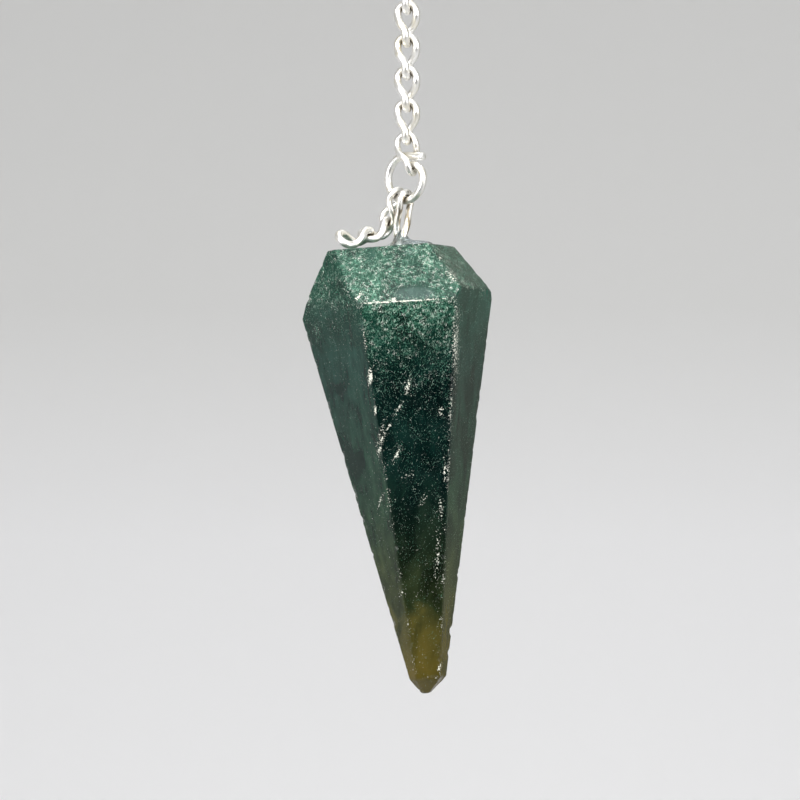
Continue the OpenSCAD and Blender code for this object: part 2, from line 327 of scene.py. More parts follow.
# Wire that has been bent with pliers is never quite even
dents = add(tree, "TexNoise", {"Vector": mm, "Scale": 1.6, "Detail": 1})
scratch_bump = add(
    tree, "Bump", {"Height": scratch.outputs[0], "Strength": 0.25, "Distance": 0.02 * MM}
)
dent_bump = add(
    tree, "Bump",
    {
        "Height": dents.outputs[0], "Strength": 0.4, "Distance": 0.12 * MM,
        "Normal": scratch_bump.outputs[0],
    },
)
tree.links.new(dent_bump.outputs[0], shader.inputs["Normal"])
print("nodes in the silver:", len(tree.nodes))


# %% [markdown]
# ## Drawing a wire
# Jewellery wire is pulled through a round hole and then bent. This function does
# the same: it starts with a circle, extrudes it from point to point of a path and
# turns it square to the path on the way. A mesh made so keeps its thickness in
# every bend, which a twist of a finished tube would not. From here on a wire's sizes
# and paths are in mm.

# %% Wire drawing
END_ROUND = 0.08


def drawn_wire(name, path, thick, body, node, closed=False, sides=18):
    """A wire of one thickness along a path in mm, which takes the place of a node."""
    points = [Vector(p) * MM for p in path]
    count = len(points)
    ways = []
    for i in range(count):
        after = points[(i + 1) % count] if closed or i < count - 1 else points[i]
        before = points[i - 1] if closed or i > 0 else points[i]
        ways.append((after - before).normalized())
    bm = bmesh.new()
    tilt = Vector((0, 0, 1)).rotation_difference(ways[0]).to_matrix().to_4x4()
    ring = bmesh.ops.create_circle(
        bm, segments=sides, radius=thick / 2 * MM, matrix=Matrix.Translation(points[0]) @ tilt,
    )["verts"]
    first = list(dict.fromkeys(e for v in ring for e in v.link_edges))
    rim = first
    for i in range(1, count):
        made = bmesh.ops.extrude_edge_only(bm, edges=rim)["geom"]
        ring = [g for g in made if isinstance(g, bmesh.types.BMVert)]
        rim = [g for g in made if isinstance(g, bmesh.types.BMEdge) and g.is_boundary]
        turn = ways[i - 1].rotation_difference(ways[i]).to_matrix().to_4x4()
        step = Matrix.Translation(points[i]) @ turn @ Matrix.Translation(-points[i - 1])
        bmesh.ops.transform(bm, matrix=step, verts=ring)
    if closed:
        bmesh.ops.bridge_loops(bm, edges=first + rim)
    else:
        # The ends are cut square, with a small burr-free rounding
        caps = bmesh.ops.edgeloop_fill(bm, edges=first)["faces"]
        caps += bmesh.ops.edgeloop_fill(bm, edges=rim)["faces"]
        bmesh.ops.bevel(
            bm, geom=[e for f in caps for e in f.edges], offset=END_ROUND * MM,
            offset_type="OFFSET", affect="EDGES", segments=2, profile=0.5, material=-1,
        )
    wire = finished(name, bm, silver)
    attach(wire, body)
    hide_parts(node)
    return wire


def square_to(side, axis):
    """A side direction made square to an axis."""
    return (side - side.dot(axis) * axis).normalized()


def smooth(t):
    """Goes from 0 to 1 with a soft start and end."""
    t = min(1, max(0, t))
    return t * t * (3 - 2 * t)


# %% [markdown]
# ## Chain links
# A curb link is a flat oval of wire with its bottom turned against its top, so that
# each link lies in the next one. The middle line of the flat oval is two half
# circles and two straight legs. The twist then turns each point by its height.

# %% Twisted links
LINK_WIRE = 0.78
# The two links in the jump ring are thinner, so that they clear its wire
RUBBED_WIRE = 0.66
# From the wire's middle at one end of a link to the other
LINK_REACH = 4.02
BEND_R = 0.93
LEG_HALF = LINK_REACH / 2 - BEND_R
TWIST = math.radians(80)
bend_marks = [math.radians(15 * i) for i in range(13)]
leg_marks = [i / 10 for i in range(1, 10)]
oval = [(BEND_R * math.cos(a), LEG_HALF + BEND_R * math.sin(a)) for a in bend_marks]
oval += [(-BEND_R, LEG_HALF * (1 - 2 * t)) for t in leg_marks]
oval += [(-BEND_R * math.cos(a), -LEG_HALF - BEND_R * math.sin(a)) for a in bend_marks]
oval += [(BEND_R, -LEG_HALF * (1 - 2 * t)) for t in leg_marks]


def link(name, node, body, top, axis, side, thick=LINK_WIRE):
    """One twisted link, hung from a point along an axis, its top bend to a side."""
    axis = Vector(axis).normalized()
    across = square_to(Vector(side), axis)
    through = (-axis).cross(across)
    path = []
    for x, z in oval:
        turn = TWIST * smooth((LEG_HALF - z) / (2 * LEG_HALF))
        spread = math.cos(turn) * across + math.sin(turn) * through
        path.append(Vector(top) + x * spread - (z - LINK_REACH / 2) * axis)
    return drawn_wire(name, path, thick, body, node, closed=True)


# %% [markdown]
# Five links hang straight down, one pitch apart. The sixth leans to the right and to
# the front on its way down to the jump ring, and is turned a little to suit it.

# %% Chain
CHAIN_TOP = -4.78
PITCH = 3.26
wires = []
for k in range(1, 6):
    top = (0, 0, CHAIN_TOP - (k - 1) * PITCH)
    wires.append(link(f"link_{k}", f"chain_link_{k}", "chain", top, (0, 0, -1), (1, 0, 0)))
LAST_TOP = (-0.259, 0.100, -21.110)
LAST_AXIS = (0.1924, -0.1614, -0.9680)
LAST_ROLL = math.radians(-13)
last_side = (math.cos(LAST_ROLL), math.sin(LAST_ROLL), 0)
wires.append(link("link_6", "chain_link_6", "chain", LAST_TOP, LAST_AXIS, last_side, RUBBED_WIRE))

# %% [markdown]
# The loose tail is the rest of the chain: three links that slide down from the jump
# ring and lie down on the stone's flat top. Each one hooks through the one before,
# and the last is rolled on, so that neither of its bends stands up.

# %% Tail links
TAIL = [
    # top and foot of each link's middle line, and its roll
    ((-0.842, 0.707, -26.589), (-2.144, 1.799, -30.232), 0),
    ((-1.628, 2.377, -30.045), (-4.301, -0.296, -31.416), -10),
    ((-3.777, 0.228, -31.150), (-6.538, -2.533, -31.800), -28),
]
RING_ACROSS = Vector((0.7660, -0.6428, 0))
RING_THROUGH = Vector((0.6428, 0.7660, 0))
side, before = RING_THROUGH, None
for k, (top, foot, roll) in enumerate(TAIL, 1):
    axis = (Vector(foot) - Vector(top)).normalized()
    side = square_to(side, axis) if before is None else before.rotation_difference(axis) @ side
    rolled = Matrix.Rotation(math.radians(roll), 3, axis) @ side
    thick = RUBBED_WIRE if k == 1 else LINK_WIRE
    wires.append(link(f"tail_{k}", f"tail_link_{k}", "drop", top, axis, rolled, thick))
    before = axis

# %% [markdown]
# ## Jump ring
# A jump ring is wire coiled on a rod and cut. This one is opened so far that its
# ends pass each other: one end runs on past the top as a straight stub, and the
# other tucks in below it on a smaller arc.

# %% Jump ring
RING_CENTRE = Vector((-0.144, 0.121, -25.467))
RING_R = 2.25
RING_WIRE = 0.79
INNER_SHIFT, INNER_R = 0.964, 1.286
STUB, STUB_DROP, INNER_RUN = 2.2, 5, 35


def on_ring(across, up):
    """A place in the ring's own plane, from its middle."""
    return RING_CENTRE + across * RING_ACROSS + Vector((0, 0, up))


drop = math.radians(STUB_DROP)
path = []
for share in (1, 0.75, 0.5, 0.25):
    s = STUB * share
    stub_x = RING_R * math.sin(drop) + s * math.cos(drop)
    stub_z = RING_R * math.cos(drop) - s * math.sin(drop)
    path.append(on_ring(stub_x, stub_z))
for i in range(61):
    a = math.radians(90 - STUB_DROP + (270 + STUB_DROP) * i / 60)
    path.append(on_ring(RING_R * math.cos(a), RING_R * math.sin(a)))
for i in range(1, 25):
    a = math.radians((90 + INNER_RUN) * i / 24)
    path.append(on_ring(INNER_SHIFT + INNER_R * math.cos(a), INNER_R * math.sin(a)))
wires.append(drawn_wire("jump_ring_wire", path, RING_WIRE, "ring", "jump_ring", sides=20))

# %% [markdown]
# ## Eye
# The eye is one wire bent over the jump ring like a hairpin. Below the loop its two
# legs wind round each other and go down into a drilled hole.

# %% Twisted eye
RING_FOOT = Vector((-0.144, 0.121, -27.717))
EYE_FOOT = Vector((-0.861, 0.121, -32.517))
STONE_AXIS = Vector((0.0867, -0.0434, -0.9953)).normalized()
EYE_WIRE = 0.7
# Half the distance between the legs: in the arch, below it and at the stone
EYE_ARCH_R, EYE_HALF, EYE_BASE_HALF = 0.83, 0.55, 0.39
# Shares of the way down where the legs stop closing, first and last
EYE_WIDE, EYE_CLOSED = 0.3, 0.85
EYE_TWIST = math.radians(110)
IN_HOLE = 5.8
eye_run = (EYE_FOOT - RING_FOOT).length
eye_axis = (EYE_FOOT - RING_FOOT).normalized()
eye_side = square_to(RING_THROUGH, eye_axis)


def eye_leg(t, way):
    """A place on one of the eye's legs, at a distance down from the ring's wire."""
    s = t / eye_run
    if s < EYE_WIDE:
        spread = EYE_ARCH_R + (EYE_HALF - EYE_ARCH_R) * smooth(s / EYE_WIDE)
    else:
        closing = smooth((s - EYE_WIDE) / (EYE_CLOSED - EYE_WIDE))
        spread = EYE_HALF + (EYE_BASE_HALF - EYE_HALF) * closing
    middle = RING_FOOT + t * eye_axis if s < 1 else EYE_FOOT + (t - eye_run) * STONE_AXIS
    return middle + way * spread * (Matrix.Rotation(EYE_TWIST * smooth(s), 3, eye_axis) @ eye_side)


marks = [eye_run * i / 36 for i in range(1, 37)]
marks += [eye_run + IN_HOLE * i / 6 for i in range(1, 7)]
path = [eye_leg(t, -1) for t in reversed(marks)]
for i in range(17):
    a = math.pi * i / 16
    path.append(RING_FOOT + EYE_ARCH_R * (-math.cos(a) * eye_side - math.sin(a) * eye_axis))
path += [eye_leg(t, 1) for t in marks]
wires.append(drawn_wire("eye_wire", path, EYE_WIRE, "drop", "eye_loop"))

# %% [markdown]
# ## Hang ring
# A plain closed ring carries the chain. A circle spun once round makes it. The
# inside of its top is the origin, where a hook or a finger takes it.

# %% Hang ring
HANG_R, HANG_WIRE = 3.05, 0.9
hang = bmesh.new()
hang_middle = Vector((0, 0, HANG_WIRE / 2 - HANG_R)) * MM
bmesh.ops.create_circle(
    hang, segments=24, radius=HANG_WIRE / 2 * MM,
    matrix=Matrix.Translation(hang_middle + Vector((0, HANG_R, 0)) * MM),
)
bmesh.ops.spin(
    hang, geom=hang.verts[:] + hang.edges[:], cent=hang_middle, axis=(1, 0, 0),
    angle=math.radians(360), steps=72, use_merge=True,
)
hang_wire = finished("hang_wire", hang, silver)
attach(hang_wire, "chain")
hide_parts("hang_ring")
wires.append(hang_wire)

# %% [markdown]
# Tarnish gathers where wires rub, and shade falls where they touch. Both are painted
# as one darker brown. Each wire is told how near its neighbours are, as a number on
# each vertex that the silver material reads. The eye was handled most and has brown
# streaks down its legs as well.

# %% Tarnish and painted shade in the nooks
NOOK_REACH = 0.35 * MM
STREAK_WIDE, STREAK_LONG = 0.3 * MM, 1.3 * MM
STREAK_BROWN = 0.85
trees = {}
for wire in wires:
    corners = [v.co for v in wire.data.vertices]
    trees[wire.name] = BVHTree.FromPolygons(corners, [p.vertices for p in wire.data.polygons])
for wire in wires:
    nearness = wire.data.attributes.new("nook_tarnish_and_shade", "FLOAT", "POINT")
    others = [t for n, t in trees.items() if n != wire.name]
    for i, vert in enumerate(wire.data.vertices):
        hits = [t.find_nearest(vert.co, NOOK_REACH) for t in others]
        gaps = [hit[3] for hit in hits if hit[0]]
        # Darker near another wire: partly tarnish, partly painted shade
        tarnish_and_shade = 1 - min(gaps) / NOOK_REACH if gaps else 0
        if wire.name == "eye_wire":
            x, y, z = vert.co
            streak = noise.noise(Vector((x / STREAK_WIDE, y / STREAK_WIDE, z / STREAK_LONG)))
            tarnish_and_shade = max(tarnish_and_shade, STREAK_BROWN * smooth((streak + 0.05) / 0.4))
        nearness.data[i].value = tarnish_and_shade
print("wires:", len(wires))

# %% [markdown]
# ## The stone's shape
# The stone is ground on a wheel, facet by facet, and then tumbled. So its facets
# are nearly flat, its ridges are a little rounded, and small chips are missing
# along them. It starts as a copy of the exact solid, so it can't drift from it.
# The ridges are bevelled, the whole is cut into small triangles, and then each
# vertex near a ridge is worn back.

# %% Stone blank
HOLE_DEPTH, HOLE_RIM = 7 * MM, 1.5 * MM
RIDGE_ANGLE = math.radians(10)
RIDGE_ROUND = 0.09 * MM
stone = bmesh.new()
stone.from_mesh(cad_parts["stone"].data)
bmesh.ops.remove_doubles(stone, verts=stone.verts, dist=1e-7)
bmesh.ops.dissolve_limit(stone, angle_limit=math.radians(1), verts=stone.verts, edges=stone.edges)


def in_hole(place):
    """True for a place at the rim or in the drilled hole."""
    offset = place - EYE_FOOT * MM
    depth = offset.dot(STONE_AXIS)
    return depth < HOLE_DEPTH and (offset - depth * STONE_AXIS).length < HOLE_RIM


ridges = [
    e for e in stone.edges
    if e.is_manifold and e.calc_face_angle(0) > RIDGE_ANGLE
    and not any(in_hole(v.co) for v in e.verts)
]
ridge_lines = np.array([[list(v.co) for v in e.verts] for e in ridges])
print("ridges:", len(ridges))
bmesh.ops.bevel(
    stone, geom=ridges, offset=RIDGE_ROUND, offset_type="OFFSET", affect="EDGES",
    segments=1, profile=0.5, material=-1, clamp_overlap=True,
)

# %% Cut into small triangles
SLICE = 2.4 * MM
SECTOR = math.radians(15)
CUTS = 7
# The stone's middle line runs a little to the right of the eye's foot
AXIS_SHIFT = 0.7 * MM
lowest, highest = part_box("stone")
axis_foot = EYE_FOOT * MM + Vector((AXIS_SHIFT, 0, 0))
sideways = square_to(Vector((1, 0, 0)), STONE_AXIS)
planes = [
    (axis_foot, Matrix.Rotation(k * SECTOR, 3, STONE_AXIS) @ sideways)
    for k in range(round(math.pi / SECTOR))
]
planes += [
    (Vector((0, 0, highest.z - k * SLICE)), Vector((0, 0, 1)))
    for k in range(1, int((highest.z - lowest.z) / SLICE) + 1)
]
for place, normal in planes:
    bmesh.ops.bisect_plane(
        stone, geom=stone.verts[:] + stone.edges[:] + stone.faces[:], dist=1e-7,
        plane_co=place, plane_no=normal,
    )
bmesh.ops.triangulate(stone, faces=stone.faces)
bmesh.ops.subdivide_edges(stone, edges=stone.edges, cuts=CUTS, use_grid_fill=True)
print("stone triangles:", len(stone.faces))

# %% [markdown]
# The wear comes next. The distance from each vertex to the nearest ridge decides
# how much a smooth noise may take away there. Three nicks are listed where the real
# stone has lost larger flakes.

# %% Wear and nicks
stone.verts.ensure_lookup_table()
places = np.array([v.co[:] for v in stone.verts])
nearest = np.full(len(places), 1.0)
for a, b in ridge_lines:
    along = np.clip((places - a) @ (b - a) / ((b - a) @ (b - a)), 0, 1)
    gap = np.linalg.norm(places - a - along[:, None] * (b - a), axis=1)
    nearest = np.minimum(nearest, gap)

CHIP_REACH = 0.55 * MM
CHIP_DEPTH = 0.16 * MM
COARSE_FLAKE, FINE_FLAKE = 0.8 * MM, 0.3 * MM
COARSE_SHARE, FINE_SHARE = 0.7, 0.4
FLAKE_FROM, FLAKE_SPAN = 0.05, 0.5
WAVE_LENGTH, WAVE_DEPTH = 4 * MM, 0.02 * MM
NEAR_AXIS = 0.5 * MM
NICKS = [
    # place in mm, reach, depth
    ((4.45, -0.85, -70.6), 0.6, 0.3),
    ((4.2, -0.95, -72.8), 0.5, 0.15),
    ((-9.9, -2.3, -37.7), 0.5, 0.2),
]
normals = [v.normal.copy() for v in stone.verts]
for i, vert in enumerate(stone.verts):
    place = vert.co.copy()
    if in_hole(place):
        continue
    wave = noise.noise(place / WAVE_LENGTH) * WAVE_DEPTH
    move = normals[i] * wave
    inward = axis_foot + (place - axis_foot).dot(STONE_AXIS) * STONE_AXIS - place
    inward = inward.normalized() if inward.length > NEAR_AXIS else -normals[i]
    if nearest[i] < CHIP_REACH:
        share = 1 - nearest[i] / CHIP_REACH
        coarse = noise.noise(place / COARSE_FLAKE) * COARSE_SHARE
        flake = coarse + noise.noise(place / FINE_FLAKE) * FINE_SHARE
        move += inward * CHIP_DEPTH * share * smooth((flake - FLAKE_FROM) / FLAKE_SPAN)
    for centre, reach, depth in NICKS:
        share = 1 - (place - Vector(centre) * MM).length / (reach * MM)
        if share > 0:
            move += inward * depth * MM * smooth(share)
    vert.co = place + move
print("vertices near a ridge:", int((nearest < CHIP_REACH).sum()), "of", len(places))

# %% [markdown]
# The material needs to know five things that a pattern in space can't tell: how far
# down the stone a place is, how close a ridge is, how many flecks the facet shows,
# where the pale scuffs are, and where a painted sheen covers the flecks. Each becomes
# a number on the vertices. How many flecks a facet shows is set by the way it faces,
# as painted glints. Every other facet round the stone, the front one among them, is
# full of flecks, and the others show few.

# %% Depth, ridges and flecks
STONE_LENGTH = 44.4 * MM
RIDGE_REACH = 0.28 * MM
GLINT_TURN = math.radians(7)
FEWEST = 0.12
# The crown faces the light above and is full of painted glints as well, its left side a little
# less
CROWN_GAIN, CROWN_MOST = 1.36, 0.86
CROWN_LEFT, CROWN_END, CROWN_FADE = 0.62, 0.25, 0.12
FACES_LEFT = -0.5
down = np.array([(Vector(p) - EYE_FOOT * MM).dot(STONE_AXIS) / STONE_LENGTH for p in places])
ridge = np.exp(-(nearest / RIDGE_REACH) ** 2)
# Painted glints: how many flecks a facet shows is set by the way it faces
flecks = []
for n, far in zip(normals, down):
    turn = math.atan2(n.x, -n.y) - GLINT_TURN
    glint_facing = 0.5 + 0.5 * math.cos(3 * turn)
    if n.x < FACES_LEFT:
        crown = CROWN_LEFT * smooth((CROWN_END - far) / CROWN_FADE)
    else:
        crown = min(CROWN_MOST, CROWN_GAIN * max(0, n.z))
    flecks.append(max(FEWEST + (1 - FEWEST) * glint_facing, crown))
flecks = np.array(flecks)
print("share of flecks, least and most:", flecks.min().round(2), flecks.max().round(2))

# %% [markdown]
# Scuffs, places clear of flecks and the painted sheen are listed as soft ovals on
# the front. Each has x and z in mm, half its length and half its width, its lean from
# upright in degrees, and its strength.

# %% Spots on the front
SCUFFS = [
    (-3.6, -45.4, 0.9, 0.24, 4, 1), (-3.1, -48.6, 0.5, 0.15, 4, 1),
    (-2.5, -51.2, 1.7, 0.45, 12, 0.56), (-2.7, -52.6, 0.6, 0.18, 15, 0.85),
    (-1.9, -50.5, 0.9, 0.12, 30, 0.75), (0.1, -46.3, 0.9, 0.22, 14, 0.85),
    (-0.8, -48.5, 0.8, 0.14, 30, 0.9), (-1.0, -53.0, 0.9, 0.16, 25, 0.9),
    (3.3, -48.7, 0.45, 0.26, 10, 0.7), (-2.6, -57.5, 0.9, 0.14, 20, 0.6),
    (-0.5, -38.04, 5.2, 0.085, 86.5, 1), (-1.4, -37.85, 0.45, 0.2, 80, 1),
    (-4.75, -37.6, 0.75, 0.17, 38, 0.95), (4.75, -42.0, 4.4, 0.42, 1, 0.60),
    (4.3, -48.5, 3.0, 0.16, 2, 0.55), (3.7, -54.6, 1.2, 0.2, 3, 0.6),
    (3.3, -58.5, 1.2, 0.3, 3, 0.5), (3.0, -63.5, 3.2, 0.35, 3, 0.42),
    (3.2, -74.2, 0.5, 0.2, 20, 0.8), (3.3, -33.6, 0.5, 0.15, 25, 0.9),
    (4.4, -35.4, 1.2, 0.55, -35, 0.55), (0.2, -55.0, 0.6, 0.4, 60, 0.36),
    (-9.8, -36.6, 0.8, 0.35, 20, 0.6), (1.6, -57.5, 0.9, 0.25, 30, 0.5),
    (-0.6, -66.6, 0.4, 0.2, 30, 0.5),
]
CLEAR_OF_FLECKS = [
    (0.6, -37.0, 2.4, 0.62, 88, 1), (-3.4, -33.4, 0.9, 0.5, 20, 0.8),
    (7.8, -34.6, 3.4, 1.7, -40, 1), (-8.0, -39.2, 1.6, 0.7, 85, 0.8),
]
# Painted sheen: two smooth pale spots over the flecks on the front
PAINTED_SHEEN_SPOTS = [(0.7, -37.35, 2.3, 0.75, 88, 1), (0.45, -33.05, 1.0, 0.4, 85, 0.8)]
FACES_FRONT = -0.2
CLEARED = 0.85
front = np.array([n.y < FACES_FRONT for n in normals])


def front_spot(spot):
    """Its strength in the middle of a spot on the stone's front, and 0 well outside."""
    x, z, half_long, half_wide, lean, strength = spot
    lean = math.radians(lean)
    right, up = places[:, 0] - x * MM, places[:, 2] - z * MM
    across = right * math.cos(lean) - up * math.sin(lean)
    length = right * math.sin(lean) + up * math.cos(lean)
    reach = (across / (half_wide * MM)) ** 2 + (length / (half_long * MM)) ** 2
    return strength * np.exp(-reach) * front


scuff = np.max([front_spot(s) for s in SCUFFS], axis=0)
painted_sheen = np.max([front_spot(s) for s in PAINTED_SHEEN_SPOTS], axis=0)
flecks *= 1 - CLEARED * np.max([front_spot(s) for s in CLEAR_OF_FLECKS], axis=0)
print("scuffs:", len(SCUFFS), "clear places:", len(CLEAR_OF_FLECKS), "sheen_spots:", len(PAINTED_SHEEN_SPOTS))

# %% [markdown]
# ## Moss agate
# The stone is quartz, coloured green by fine mineral moss and full of mica flecks,
# brown with iron at the tip. It is polished, so it has a clear reflection over a
# deep colour. The flecks are what catches the eye: short pale splinters that lie
# to both sides, over soft clouds of lighter and darker green. The material starts
# with the numbers from the vertices and the clouds.

# %% Clouds of moss
agate, tree, shader, mm = new_material("polished_moss_agate")
down_mark = add(tree, "Attribute", attribute_name="down").outputs["Fac"]
ridge_mark = add(tree, "Attribute", attribute_name="ridge").outputs["Fac"]
fleck_mark = add(tree, "Attribute", attribute_name="flecks").outputs["Fac"]
scuff_mark = add(tree, "Attribute", attribute_name="scuff").outputs["Fac"]
sheen_mark = add(tree, "Attribute", attribute_name="painted_sheen").outputs["Fac"]

# The clouds are 2 mm wide and 4 to 5 mm long
cloud_place = add(
    tree, "Mapping", {"Vector": mm, "Scale": (2.2, 2.2, 4.5)}, vector_type="TEXTURE"
)
cloud = add(
    tree, "TexNoise",
    {
        "Vector": cloud_place.outputs[0], "Scale": 1, "Detail": 4, "Roughness": 0.55,
        "Distortion": 0.6,
    },
)
# The colour zones shift with the clouds, so their borders are never straight
zone_shift = add(
    tree, "MapRange",
    {
        "Value": cloud.outputs[0], "From Min": 0.3, "From Max": 0.7,
        "To Min": -0.05, "To Max": 0.05,
    },
)
zone = add(tree, "Math", {0: down_mark, 1: zone_shift.outputs[0]}, operation="ADD")
deep = add(
    tree, "ValToRGB", {0: zone.outputs[0]},
    stops=[
        (0.0, "#09261E"), (0.16, "#041A14"), (0.30, "#010D0C"), (0.52, "#031210"),
        (0.68, "#0C160B"), (0.80, "#1A210F"), (0.88, "#3A3716"), (1.0, "#473F14"),
    ],
)
light = add(
    tree, "ValToRGB", {0: zone.outputs[0]},
    stops=[
        (0.0, "#1C4838"), (0.16, "#11362A"), (0.30, "#07211D"), (0.52, "#0D2520"),
        (0.68, "#1B281C"), (0.80, "#2D3620"), (0.88, "#4B4620"), (1.0, "#554A1E"),
    ],
)
cloud_mask = add(
    tree, "MapRange", {"Value": cloud.outputs[0], "From Min": 0.38, "From Max": 0.68}
)
clouded = add(
    tree, "Mix",
    {"Factor": cloud_mask.outputs[0], "A": deep.outputs[0], "B": light.outputs[0]},
    data_type="RGBA",
)
print("nodes for the clouds:", len(tree.nodes))

# %% [markdown]
# Facets with few flecks are painted a little milky. This is partly the stone's own milk
# and partly a painted sheen of the pale room on these side facets. The milk comes in
# streaks down the stone inside the larger clouds. In two places on the front a painted
# sheen lies pale over the flecks.

# %% Milky facets with painted sheen, and painted sheen spots
# Partly painted sheen: facets with few flecks get a paler, milky tone
milk_and_sheen = add(
    tree, "MapRange",
    {"Value": fleck_mark, "From Min": 0.0, "From Max": 0.8, "To Min": 0.75, "To Max": 0.0},
)
# The streaks are 0.5 mm wide and 4 mm long
streak_place = add(
    tree, "Mapping", {"Vector": mm, "Scale": (0.5, 0.5, 4.0)}, vector_type="TEXTURE"
)
streak = add(
    tree, "TexNoise",
    {"Vector": streak_place.outputs[0], "Scale": 1, "Detail": 3, "Roughness": 0.6},
)
streak_part = add(
    tree, "MapRange",
    {
        "Value": streak.outputs[0], "From Min": 0.3, "From Max": 0.7,
        "To Min": 0.25, "To Max": 0.75,
    },
)
cloud_part = add(
    tree, "MapRange",
    {
        "Value": cloud.outputs[0], "From Min": 0.35, "From Max": 0.65,
        "To Min": 0.5, "To Max": 1.6,
    },
)
milk_sheen_streaks = add(
    tree, "Math", {0: milk_and_sheen.outputs[0], 1: streak_part.outputs[0]}, operation="MULTIPLY"
)
milk_sheen_part = add(
    tree, "Math", {0: milk_sheen_streaks.outputs[0], 1: cloud_part.outputs[0]},
    operation="MULTIPLY", use_clamp=True,
)
milky_sheen_colour = add(
    tree, "ValToRGB", {0: zone.outputs[0]},
    stops=[
        (0.0, "#326053"), (0.3, "#2A4D43"), (0.6, "#31503A"), (0.8, "#494F2C"),
        (1.0, "#665722"),
    ],
)
milk_sheen_mixed = add(
    tree, "Mix",
    {"Factor": milk_sheen_part.outputs[0], "A": clouded.outputs["Result"], "B": milky_sheen_colour.outputs[0]},
    data_type="RGBA",
)
# Painted sheen: a pale grey-green laid in streaks over the flecks
sheen_part = add(
    tree, "MapRange",
    {"Value": sheen_mark, "From Min": 0.30, "From Max": 0.62, "To Max": 0.9},
    interpolation_type="SMOOTHSTEP",
)
sheen_streaks = add(
    tree, "Math", {0: sheen_part.outputs[0], 1: streak_part.outputs[0]}, operation="MULTIPLY"
)
body = add(
    tree, "Mix",
    {"Factor": sheen_streaks.outputs[0], "A": milk_sheen_mixed.outputs["Result"], "B": linear("#4E655F")},
    data_type="RGBA",
)
print("nodes with milk and film:", len(tree.nodes))

# %% [markdown]
# Mica grows in thin plates. The saw and the wheel cut them to splinters, which lie
# three ways here: two leaning ones and one nearly upright. Three noises, squeezed
# across and turned, draw them, and the strongest one counts at each place.

# %% Mica flecks
# The splinters are about 0.07 by 0.25 mm. Real ones are down to a few hundredths of
# a millimetre across and wouldn't show at this scale.
splinters = []
for lean, seed in ((40, 0), (-35, 7.3), (8, 15.1)):
    place = add(
        tree, "Mapping",
        {
            "Vector": mm, "Location": (seed, seed, seed), "Rotation": (0, math.radians(lean), 0),
            "Scale": (0.068, 0.085, 0.23),
        },
        vector_type="TEXTURE",
    )
    splinters.append(add(
        tree, "TexNoise", {"Vector": place.outputs[0], "Scale": 1, "Detail": 1.5, "Roughness": 0.6}
    ).outputs[0])
both = add(tree, "Math", {0: splinters[0], 1: splinters[1]}, operation="MAXIMUM")
all_ways = add(tree, "Math", {0: both.outputs[0], 1: splinters[2]}, operation="MAXIMUM")
# Patches, 1 to 2 mm across, where splinters crowd together
patch = add(tree, "TexNoise", {"Vector": mm, "Scale": 0.75, "Detail": 2})
crowd = add(
    tree, "ValToRGB", {0: down_mark},
    stops=[
        (0.0, "#F0F0F0"), (0.12, "#FFFFFF"), (0.24, "#D0D0D0"), (0.36, "#9A9A9A"),
        (0.7, "#747474"), (0.88, "#404040"), (1.0, "#303030"),
    ],
)
crowd_mark = add(tree, "Math", {0: crowd.outputs[0], 1: fleck_mark}, operation="MULTIPLY")
lift = add(tree, "Math", {0: patch.outputs[0], 1: 0.22, 2: -0.11}, operation="MULTIPLY_ADD")
more = add(
    tree, "Math", {0: crowd_mark.outputs[0], 1: 0.16, 2: lift.outputs[0]},
    operation="MULTIPLY_ADD",
)
level = add(tree, "Math", {0: all_ways.outputs[0], 1: more.outputs[0]}, operation="ADD")
fleck = add(
    tree, "MapRange",
    {"Value": level.outputs[0], "From Min": 0.72, "From Max": 0.785},
    interpolation_type="SMOOTHSTEP",
)
# The flecks run from green to near white: partly the mica's own colour, partly painted glints
tint = add(tree, "TexNoise", {"Vector": mm, "Scale": 2.4, "Detail": 2})
fleck_glint_colour = add(
    tree, "ValToRGB", {0: tint.outputs[0]},
    stops=[(0.34, "#2A6B50"), (0.47, "#58947A"), (0.58, "#A8CBB4"), (0.68, "#F6F9EE")],
)
# They lie deeper below the girdle, where the stone over them dims them
nearer = add(
    tree, "ValToRGB", {0: zone.outputs[0]},
    stops=[(0.13, "#E4E4E4"), (0.21, "#B8B8B8"), (0.5, "#A8A8A8"), (1.0, "#B0B0B0")],
)
fleck_part = add(tree, "Math", {0: fleck.outputs[0], 1: nearer.outputs[0]}, operation="MULTIPLY")
flecked = add(
    tree, "Mix",
    {"Factor": fleck_part.outputs[0], "A": body.outputs["Result"], "B": fleck_glint_colour.outputs[0]},
    data_type="RGBA",
)
print("nodes with flecks:", len(tree.nodes))

# %% [markdown]
# Worn ridges and scuffs are crushed quartz, which is white and dull. A fine noise
# breaks them into grains of about 0.15 mm, and a coarse one leaves stretches of each
# ridge whole.

# %% Crushed ridges
grains = add(tree, "TexNoise", {"Vector": mm, "Scale": 6, "Detail": 2, "Roughness": 0.7})
runs = add(tree, "TexNoise", {"Vector": mm, "Scale": 0.45, "Detail": 2})
ridge_run = add(tree, "MapRange", {"Value": runs.outputs[0], "From Min": 0.42, "From Max": 0.62})
ridge_white = add(tree, "Math", {0: ridge_mark, 1: ridge_run.outputs[0]}, operation="MULTIPLY")
ridge_part = add(tree, "Math", {0: ridge_white.outputs[0], 1: 0.42}, operation="MULTIPLY")
worn = add(tree, "Math", {0: ridge_part.outputs[0], 1: scuff_mark}, operation="MAXIMUM")
worn_level = add(
    tree, "Math", {0: worn.outputs[0], 1: 0.36, 2: grains.outputs[0]}, operation="MULTIPLY_ADD"
)
crushed = add(
    tree, "MapRange",
    {"Value": worn_level.outputs[0], "From Min": 0.68, "From Max": 0.82},
    interpolation_type="SMOOTHSTEP",
)
